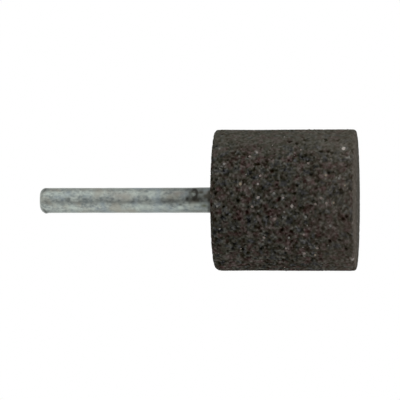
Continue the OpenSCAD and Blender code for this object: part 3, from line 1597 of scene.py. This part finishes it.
@dataclass
class SteelShank:
    """Turned steel shank: rounded tip, plain collet length, and a turned-down end with knurl and groove."""

    radius: float
    inner_end: float
    head_back: float
    shoulder: float
    tip: float
    camera: PhotoCamera
    tip_edge: float = 1.4 * MM
    key_relief: float = 0.3 * MM
    inner_chamfer: float = 0.5 * MM
    collar: float = 1.0 * MM
    groove_w: float = 3.0 * MM
    groove_depth: float = 0.4 * MM
    knurl_pitch: float = 1.5 * MM
    knurl_depth: float = 0.35 * MM
    columns: int = 256
    spacing: float = 0.22 * MM
    dent_depth: float = 0.020 * MM
    fine_dent_depth: float = 0.007 * MM
    burr_height: float = 0.15 * MM
    burr_width: float = math.radians(48.0)
    burr_reach: float = 0.4 * MM
    crust_depth: float = 0.16 * MM
    crust_reach: float = 5.0 * MM
    polish: float = 0.95
    polish_gain: float = 0.11
    polish_margin: tuple[float, float] = (11.5 * MM, 6.0 * MM)
    even_sides: float = 0.55
    even_line: float = 0.32
    # Dark band on the shank next to the head: partly cement dirt, partly painted shade
    joint_dirt_and_shade: float = 0.75
    joint_band_tilt: float = 0.15
    joint_band_edge: tuple[float, float] = (0.7 * MM, 1.8 * MM)
    smear_near: tuple[float, float] = (4.5 * MM, 8.5 * MM)
    smear_far: tuple[float, float] = (9.0 * MM, 15.5 * MM)
    hook_edge: tuple[float, float] = (0.22, 0.62)
    hook: Mark = Mark(193.5, 193.4, 0.80, 1.28, 0.95)
    marks: tuple[Mark, ...] = (
        Mark(187.2, 198.7, 0.64, 0.70, 0.97), Mark(189.4, 202.8, 0.40, 0.50, 0.55),
        Mark(183.5, 199.2, 1.00, 0.75, 0.28), Mark(187.8, 190.0, 1.30, 0.60, 0.52),
        Mark(188.5, 196.8, 0.90, 0.50, 0.58), Mark(190.6, 198.6, 0.90, 0.50, 0.50),
        Mark(178.0, 196.6, 1.70, 0.45, 0.22), Mark(199.8, 198.2, 1.00, 0.60, 0.66),
        Mark(194.5, 198.6, 2.60, 0.50, 0.34), Mark(197.0, 211.3, 2.60, 0.50, 0.40),
        Mark(201.6, 200.6, 0.55, 0.35, 0.40), Mark(172.0, 197.2, 2.60, 0.50, 0.20),
        Mark(148.0, 200.8, 2.60, 0.45, 0.16), Mark(204.5, 205.8, 1.00, 0.50, 0.85, Trace.OIL),
        # Mark(108.0, 201.7), long and thin, is painted reflection: a dark line down the middle of the dark
        # reflection band
        Mark(197.0, 207.0, 3.00, 1.00, 0.07, Trace.OIL), Mark(108.0, 201.7, 15.0, 0.17, 0.12),
        Mark(186.8, 210.0, 0.50, 0.40, 0.35), Mark(180.6, 204.6, 0.42, 0.38, 0.48),
        Mark(67.5, 198.8, 0.70, 0.50, 0.38), Mark(86.0, 199.2, 1.50, 0.55, 0.28),
        Mark(99.5, 200.2, 0.60, 0.40, 0.30), Mark(170.0, 200.4, 3.00, 0.60, 0.38),
        # Marks of the painted highlight kind lie along the two bright reflection bands and paint them lighter
        Mark(56.0, 193.8, 2.40, 0.65, 0.30, Trace.BARE), Mark(88.0, 194.0, 3.20, 0.60, 0.30, Trace.BARE),
        Mark(141.0, 194.0, 3.00, 0.55, 0.38, Trace.BARE),
        Mark(160.5, 207.0, 1.30, 0.60, 0.45, Trace.BARE),
        Mark(142.0, 207.2, 2.30, 0.65, 0.55, Trace.BARE), Mark(70.5, 207.3, 1.20, 0.60, 0.60, Trace.BARE),
        Mark(47.8, 193.4, 0.50, 0.50, 0.60, Trace.BARE), Mark(179.8, 207.9, 0.80, 0.45, 0.90, Trace.BARE),
        Mark(190.5, 207.4, 1.40, 0.55, 0.25, Trace.BARE),
        Mark(197.4, 204.8, 1.10, 0.50, 0.50, Trace.BARE), Mark(58.0, 205.2, 3.00, 0.50, 0.18, Trace.BARE),
        Mark(192.5, 193.3, 0.45, 0.70, 0.95, Trace.BARE),
        Mark(201.6, 193.4, 0.60, 0.60, 0.30, Trace.BARE),
        Mark(121.5, 196.6, 2.50, 1.00, 0.45, Trace.BROWN),
        Mark(178.5, 193.4, 1.30, 0.70, 0.60, Trace.BROWN),
        Mark(208.4, 193.2, 0.60, 0.70, 0.80, Trace.BROWN),
    )

    def key_radius(self) -> float:
        """Give the radius of the turned-down end."""
        return self.radius - self.key_relief

    def key_strokes(self, spacing: float) -> list[Stroke]:
        """Draw the turned-down end from the axis up to the shoulder, without the shoulder's own step.

        Args:
            spacing: Largest distance between rings.

        Returns:
            Stretches of the half section.
        """
        r, groove_r = self.key_radius(), self.key_radius() - self.groove_depth
        low, high = (self.groove_middle() + side * self.groove_w / 2.0 for side in (-1.0, 1.0))
        corners = [
            (0.0, self.inner_end),
            (r - self.inner_chamfer, self.inner_end),
            (r, self.inner_end + self.inner_chamfer),
            (r, low),
            (groove_r, low),
            (groove_r, high),
            (r, high),
            (r, self.shoulder),
        ]
        return [straight(start, end, spacing) for start, end in zip(corners, corners[1:])]

    def half_section(self) -> Profile:
        """Draw the half section from the inner end up to the tip."""
        r, edge = self.radius, self.tip_edge
        return Profile(
            self.key_strokes(3.0 * self.spacing)
            + [
                straight((self.key_radius(), self.shoulder), (r, self.shoulder), self.spacing),
                straight((r, self.shoulder), (r, self.tip - edge), self.spacing),
                quarter_round((r - edge, self.tip - edge), edge, 0.0, 90.0, self.spacing / 2.0),
                straight((r - edge, self.tip), (0.0, self.tip), self.spacing),
            ]
        )

    def groove_middle(self) -> float:
        """Give the height of the middle of the retaining groove."""
        return (self.inner_end + self.head_back - self.collar) / 2.0

    def knurled(self, points: Array, angle: Array) -> Array:
        """Cut the knurl into the turned-down end, but no deeper than it already is.

        The depth falls from full at the middle of a flute to nothing at one depth to either side, so that the
        flute is a V of 90 degrees.

        Args:
            points: Places on the plain end.
            angle: Angle of each point round the axis.

        Returns:
            Places with the knurl.
        """
        count = math.floor(2.0 * math.pi * self.key_radius() / self.knurl_pitch)
        pitch = 2.0 * np.pi / count
        aside = np.abs((angle + pitch / 2.0) % pitch - pitch / 2.0) * self.key_radius()
        fluted = self.key_radius() - np.maximum(self.knurl_depth - aside, 0.0)
        plain = np.hypot(points[:, 0], points[:, 1])
        keyed = points[:, 2] < self.head_back - self.collar
        inward = np.where(keyed, np.minimum(plain, fluted), plain) / np.maximum(plain, TINY)
        return points * np.stack([inward, inward, np.ones_like(inward)], axis=-1)

    def build(self) -> bpy.types.Object:
        """Make the shank: the half section with its knurl, and dents, a burr and a crust outside the head.

        It is less mottled along its +X and -X sides and beside its middle line, and polished brighter towards
        its tip.

        Returns:
            The piece.
        """
        profile = self.half_section()
        skin = RingSkin(profile, self.columns)
        ring, angle = skin.layout()
        points, normals = turn(profile, profile.rings[ring], angle)
        points = self.knurled(points, angle)
        outside = smooth_rise(points[:, 2], self.shoulder, self.shoulder + 0.4 * MM)
        dents = self.dent_depth * soft_noise(points, 1.9 * MM, Seed.DENTS)
        dents = dents + self.fine_dent_depth * soft_noise(points, 0.7 * MM, Seed.FINE_DENTS)
        push = outside * (dents + self.burr(angle, points[:, 2]) + self.crust(points))
        points = points + normals * push[:, None]
        piece = make_piece("steel_shank", points, skin.triangles(Seed.SHANK_DIAGONALS), Shading.SMOOTH)
        level = points[:, 0] / self.radius
        sides = self.even_sides * smooth_rise(np.abs(level), 0.55, 0.95)
        traces = self.traces(angle, points)
        layers = {trace.value: np.clip(cover, 0.0, 1.0) for trace, cover in traces.items()}
        layers["even"] = np.maximum(sides, self.even_line * bell(level, -0.2, 0.15))
        low, high = self.polish_margin
        brighter = smooth_rise(points[:, 2], self.shoulder + low, self.tip - high)
        layers["polish"] = self.polish + self.polish_gain * brighter
        add_attributes(piece, Domain.POINT, layers)
        return piece

    def burr(self, angle: Array, height: Array) -> Array:
        """Raise a small burr where the tip was cropped, on the -X side.

        Args:
            angle: Angle of each point round the axis.
            height: Height of each point.

        Returns:
            How far the burr stands out: a bell over the angle times a bell over the height.
        """
        aside = angle_from(angle, np.pi) / self.burr_width
        across = (height - (self.tip - self.tip_edge)) / self.burr_reach
        return self.burr_height * np.exp(-(aside**2) - across**2)

    def crust(self, points: Array) -> Array:
        """Build up a thin crust of dirt on the +X side, thickest at the head.

        Args:
            points: Places of the points.

        Returns:
            Its thickness, which falls off by the exponential of the height.
        """
        upper = smooth_rise(points[:, 0] / self.radius, 0.3, 0.95)
        return self.crust_depth * upper * np.exp(-(points[:, 2] - self.head_back) / self.crust_reach)

    def oval(self, angle: Array, height: Array, mark: Mark) -> tuple[Array, Array]:
        """Measure how far points lie from the middle of a mark, over the mark's own reach.

        Args:
            angle: Angle of each point round the axis.
            height: Height of each point.
            mark: The mark.

        Returns:
            Distance along the shank, positive towards the tip, and distance round it.
        """
        (middle,), (level,) = self.camera.sight((mark,), self.radius)
        around = angle_from(angle, middle) * self.radius
        return (height - level) / (mark.along_mm * MM), around / (mark.across_mm * MM)

    def traces(self, angle: Array, points: Array) -> dict[Trace, Array]:
        """Lay the marks on the shank: ragged bells for spots, a hook-shaped scuff, a dark band at the joint
        and a smear.

        The hook is an oval ring that fades on the side of the tip. The band at the joint is partly the
        cement's dirt and partly painted shade next to the head.

        Args:
            angle: Angle of each point round the axis.
            points: Places of the points.

        Returns:
            Cover from 0 to 1 for each kind of mark.
        """
        cover = {trace: np.zeros(len(points)) for trace in Trace}
        uneven = 1.0 + 0.45 * soft_noise(points, 0.7 * MM, Seed.MARKS)
        for mark in self.marks:
            along, across = self.oval(angle, points[:, 2], mark)
            spot = mark.strength * np.exp(-(along**2 + across**2) * uneven)
            cover[mark.trace] = np.maximum(cover[mark.trace], spot)
        along, across = self.oval(angle, points[:, 2], self.hook)
        ring = 1.0 - smooth_rise(np.abs(np.hypot(along, across) - 1.0) * uneven, *self.hook_edge)
        ring = ring * self.hook.strength * (0.5 + 0.5 * (1.0 - smooth_rise(along, 0.0, 0.8)))
        # Dark band next to the head: partly cement dirt, partly painted shade where the shank meets the head
        tilted = points[:, 2] - self.head_back + self.joint_band_tilt * points[:, 0]
        ragged = tilted + 0.4 * MM * soft_noise(points, 1.0 * MM, Seed.TIDE)
        joint_dirt_and_shade = self.joint_dirt_and_shade * (1.0 - smooth_rise(ragged, *self.joint_band_edge))
        # This layer also takes painted shade: the tip line and part of the band at the joint
        cover[Trace.GRIME] = np.maximum.reduce([cover[Trace.GRIME], ring, joint_dirt_and_shade, self.tip_painted_shade(points)])
        cover[Trace.SMEAR] = self.smear(points)
        return cover

    def tip_painted_shade(self, points: Array) -> Array:
        """Paint a soft line of shade round the rounding of the tip, more so on the +X and -X sides.

        Args:
            points: Places of the points.

        Returns:
            Darkness from 0 to 1, a bell over the distance below the tip.
        """
        sides = smooth_rise(np.abs(points[:, 0]) / self.radius, 0.5, 0.95)
        below = (self.tip - points[:, 2] - (0.60 + 0.80 * sides) * MM) / ((0.30 + 0.20 * sides) * MM)
        return (0.24 + 0.40 * sides) * bell(below)

    def smear(self, points: Array) -> Array:
        """Spread a thin dark smear from the joint along the +X half of the shank.

        Args:
            points: Places of the points.

        Returns:
            Strength from 0 to 1: patchy noise that fades over the first centimetre outside the head.
        """
        height = points[:, 2] - self.head_back
        near = 0.64 * (1.0 - smooth_rise(height, *self.smear_near))
        far = 0.36 * (1.0 - smooth_rise(height, *self.smear_far))
        upper = smooth_rise(points[:, 0] / self.radius, -0.34, 0.02)
        patchy = smooth_rise(soft_noise(points, 1.0 * MM, Seed.SMEAR), -0.6, 0.5)
        limb = smooth_rise(points[:, 0] / self.radius, 0.6, 0.95)
        return (near + far) * (0.15 + 0.85 * upper - 0.42 * limb) * (0.60 + 0.40 * patchy)


@dataclass
class CementJoint:
    """Cement that fills the socket round the keyed shank and ends in a ragged bead."""

    socket: BlindSocket
    columns: int = 192
    spacing: float = 0.14 * MM
    lump_height: float = 0.2 * MM

    def half_section(self, shank: SteelShank) -> Profile:
        """Draw the half section up the socket wall, over the bead and down the shank.

        Args:
            shank: The shank that the cement holds.

        Returns:
            The half section.
        """
        hole, top = self.socket, shank.shoulder
        coarse = 6.0 * self.spacing
        down = [Stroke(stroke.points[::-1], stroke.rings) for stroke in reversed(shank.key_strokes(coarse))]
        return Profile(
            [
                straight((0.0, hole.apex), (hole.radius, hole.floor), coarse),
                straight((hole.radius, hole.floor), (hole.radius, hole.mouth_low()), coarse),
                straight((hole.radius, hole.mouth_low()), (hole.mouth_radius, hole.mouth), self.spacing),
                straight((hole.mouth_radius, hole.mouth), (shank.radius, top), self.spacing / 2.0),
                straight((shank.radius, top), (shank.key_radius(), top), self.spacing),
                *down,
            ]
        )

    def build(self, shank: SteelShank) -> bpy.types.Object:
        """Make the cement: the turned half section, keyed into the knurl, with a lumpy bead.

        Args:
            shank: The shank that the cement holds.

        Returns:
            The piece.
        """
        profile = self.half_section(shank)
        skin = RingSkin(profile, self.columns)
        ring, angle = skin.layout()
        along = profile.rings[ring]
        points, normals = turn(profile, along, angle)
        keyed = along >= profile.corners[CementLine.KEY]
        points = np.where(keyed[:, None], shank.knurled(points, angle), points)
        first, last = profile.corners[CementLine.MOUTH], profile.corners[CementLine.SHOULDER]
        across = np.clip((along - first) / (last - first), 0.0, 1.0)
        lumps = 0.5 + 0.9 * soft_noise(points, 0.9 * MM, Seed.LUMPS)
        lumps = lumps + 0.4 * soft_noise(points, 0.35 * MM, Seed.FINE_LUMPS)
        push = self.lump_height * np.sin(np.pi * across) * lumps
        points = points + normals * push[:, None]
        return make_piece("joint_cement", points, skin.triangles(Seed.CEMENT_DIAGONALS), Shading.SMOOTH)


# Stage


def hide(thing: bpy.types.Object, *rays: Ray) -> None:
    """Hide a thing on the stage from kinds of rays."""
    for ray in rays:
        setattr(thing, ray.value, False)


@dataclass(frozen=True)
class Lamp:
    """A soft rectangular lamp that faces the part: where it stands, how large it is and how much it adds."""

    name: str
    place: tuple[float, float, float]
    size: tuple[float, float]
    level: float

    def build(self, target: Vector) -> None:
        """Hang the lamp, out of the camera's sight and out of reflections, which show the white room instead.

        A lamp of P watts at distance d lights a facing white surface to a level of P over the square of pi
        times d, so the wanted level gives P.

        Args:
            target: Point that it faces.
        """
        light = bpy.data.lights.new(self.name, "AREA")
        light.shape = "RECTANGLE"
        light.size, light.size_y = self.size
        away = Vector(self.place)
        light.energy = self.level * math.pi**2 * away.length_squared
        lamp = bpy.data.objects.new(self.name, light)
        lamp.location = target + away
        lamp.rotation_euler = away.to_track_quat("Z", "Y").to_euler()
        hide(lamp, Ray.CAMERA, Ray.GLOSSY)
        bpy.context.scene.collection.objects.link(lamp)


@dataclass(frozen=True)
class SoftCard:
    """A soft grey card that only reflections see: darkest along its middle line, white towards its sides."""

    name: str
    centre: tuple[float, float, float]
    half_across: tuple[float, float, float]
    half_up: tuple[float, float, float]
    darkness: float
    spread: tuple[float, float]

    def build(self) -> None:
        """Hang the card as a single face and hide it from everything but reflections.

        Its glow is 1 less the darkness times a bell over the distance from its middle line, which has one
        spread on the side that its across points to and another on the other side.
        """
        centre, across, up = (np.array(v) for v in (self.centre, self.half_across, self.half_up))
        low, high = centre - up, centre + up
        points = np.array([low - across, low + across, high + across, high - across])
        card = make_piece(self.name, points, np.array([[0, 1, 2], [0, 2, 3]]), Shading.FACETED)
        material, graph = new_material(self.name)
        away = graph.vector("SUBTRACT", graph.place(), self.centre)
        unit = across / np.linalg.norm(across)
        ways = (unit / self.spread[0], -unit / self.spread[1])
        aside = graph.math("MAXIMUM", *(graph.vector("DOT_PRODUCT", away, tuple(way)) for way in ways))
        shade = graph.math("EXPONENT", graph.math("MULTIPLY", graph.math("MULTIPLY", aside, aside), -1.0))
        glow = graph.math("SUBTRACT", 1.0, graph.math("MULTIPLY", shade, self.darkness))
        graph.surface(graph.add("Emission", {"Color": WHITE, "Strength": glow}))
        card.data.materials.append(material)
        hide(card, Ray.CAMERA, Ray.DIFFUSE, Ray.SHADOW)


@dataclass
class Studio:
    """White studio: camera at the photograph's angle, soft lamps, a pale floor and reflection cards."""

    camera: PhotoCamera = field(default_factory=PhotoCamera)
    ambient: float = 0.56
    floor_radius: float = 2.0
    floor_drop: float = 0.1 * MM
    floor_rings: int = 48
    floor_columns: int = 96
    floor_colour: Colour = (0.86, 0.86, 0.86)
    floor_fade: tuple[float, float] = (0.06, 0.32)
    lamps: tuple[Lamp, ...] = (
        Lamp("key_lamp", (0.80, -0.23, 0.22), (0.7, 0.7), 0.55),
        Lamp("end_lamp", (0.25, -0.45, -0.75), (0.6, 0.6), 0.22),
        Lamp("low_lamp", (-0.85, -0.20, 0.10), (0.6, 0.6), 0.30),
    )
    cards: tuple[SoftCard, ...] = (
        SoftCard("front_card", (-0.13, -0.5, 0.05), (1.1, 0.0, 0.0), (0.0, 0.0, 0.9), 0.56, (0.26, 0.225)),
        SoftCard("upper_card", (0.62, 0.25, 0.05), (0.95, 0.0, 0.0), (0.0, 0.0, 0.9), 0.52, (0.80, 0.45)),
        SoftCard("side_card", (-0.95, -0.15, 0.05), (0.0, 0.35, 0.0), (0.0, 0.0, 0.9), 0.13, (0.25, 0.25)),
        SoftCard("lower_card", (-0.72, 0.45, 0.05), (0.70, 0.0, 0.0), (0.0, 0.0, 0.9), 0.55, (0.34, 0.50)),
    )

    def build(self) -> None:
        """Set up the camera, the light and the floor."""
        bpy.context.scene.view_settings.view_transform = "Standard"
        self.camera.hang()
        self.paint_world()
        for lamp in self.lamps:
            lamp.build(self.camera.aim())
        for card in self.cards:
            card.build()
        self.lay_floor()

    def paint_world(self) -> None:
        """Make the surroundings white to the camera and in reflections, and softer as a source of light."""
        world = bpy.data.worlds.new("white_room")
        world.use_nodes = True
        graph = Graph(world.node_tree)
        path = graph.add("LightPath")
        seen = graph.math("MAXIMUM", path.outputs["Is Camera Ray"], path.outputs["Is Glossy Ray"])
        seen = graph.math("MAXIMUM", seen, path.outputs["Is Transmission Ray"])
        strength = graph.remap(seen, 0.0, 1.0, self.ambient, 1.0)
        background = graph.add("Background", {"Color": WHITE, "Strength": strength})
        graph.add("OutputWorld", {"Surface": background.outputs[0]})
        bpy.context.scene.world = world

    def lay_floor(self) -> None:
        """Lay a pale round floor that takes the part's shadow and fades to white far out.

        It shows only from above, so that the camera, which is a little lower than the end face, looks past
        it, and it sends no light back to the part.
        """
        rings, columns = self.floor_rings, self.floor_columns
        profile = Profile([straight((0.0, 0.0), (self.floor_radius, 0.0), self.floor_radius / rings)])
        ring, column = np.divmod(np.arange((rings + 1) * columns), columns)
        points, _ = turn(profile, profile.rings[ring], column * 2.0 * np.pi / columns)
        points[:, 2] -= self.floor_drop
        ring, column = np.divmod(np.arange(rings * columns), columns)
        a, b = ring * columns + column, ring * columns + (column + 1) % columns
        c, d = b + columns, a + columns
        triangles = np.concatenate([np.stack([a, d, c], -1), np.stack([a, c, b], -1)])
        floor = make_piece("floor", points, triangles, Shading.FACETED)
        material, graph = new_material("pale_floor")
        far = graph.remap(graph.vector("LENGTH", graph.place()), *self.floor_fade, 0.0, 1.0)
        matte = graph.add("BsdfDiffuse", {"Color": (*self.floor_colour, 1.0)})
        white = graph.add("Emission", {"Color": WHITE, "Strength": 1.0})
        top = graph.add("MixShader", {0: far, 1: matte.outputs[0], 2: white.outputs[0]})
        clear = graph.add("BsdfTransparent")
        under = graph.add("NewGeometry").outputs["Backfacing"]
        graph.surface(graph.add("MixShader", {0: under, 1: top.outputs[0], 2: clear.outputs[0]}))
        floor.data.materials.append(material)
        hide(floor, Ray.DIFFUSE, Ray.GLOSSY, Ray.SHADOW)


# The whole scene


def dress(
    piece: bpy.types.Object, material: bpy.types.Material, node: Node | None = None
) -> None:
    """Give a piece its finish, set it on the part and hide the solid that it stands for.

    Args:
        piece: The piece.
        material: Its material.
        node: Solid that it stands for, if any.
    """
    piece.data.materials.append(material)
    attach(piece, "root")
    if node is not None:
        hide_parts(node.value)
    LOG.info("%s: %d triangles", piece.name, len(piece.data.polygons))


def node_box(node: Node) -> tuple[Array, Array]:
    """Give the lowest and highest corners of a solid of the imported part."""
    low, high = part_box(node.value)
    return np.array(low), np.array(high)


def main() -> None:
    """Build the stage and every piece of the mounted point."""
    logging.basicConfig(level=logging.INFO, format="%(name)s: %(message)s")
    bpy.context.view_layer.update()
    head_low, head_high = node_box(Node.HEAD)
    shank_low, shank_high = node_box(Node.SHANK)
    cement_low, cement_high = node_box(Node.CEMENT)
    studio = Studio()
    studio.build()
    shank = SteelShank(
        radius=shank_high[0],
        inner_end=shank_low[2],
        head_back=head_high[2],
        shoulder=cement_high[2],
        tip=shank_high[2],
        camera=studio.camera,
    )
    socket = BlindSocket(
        apex=cement_low[2],
        floor=shank.inner_end - CEMENT_FLOOR,
        radius=shank.radius + CEMENT_WALL,
        mouth_radius=cement_high[0],
        mouth=head_high[2],
    )
    head = AbrasiveHead(head_high[0], head_high[2], socket, studio.camera)
    cement = CementJoint(socket)
    dress(head.build(), GritFinish().build("dark_grit"), Node.HEAD)
    dress(head.crystals(), CrystalFinish().build("pale_crystal"))
    dress(shank.build(), SteelFinish().build("mottled_steel"), Node.SHANK)
    dress(cement.build(shank), CementFinish().build("brown_cement"), Node.CEMENT)


if __name__ == "__main__":
    main()
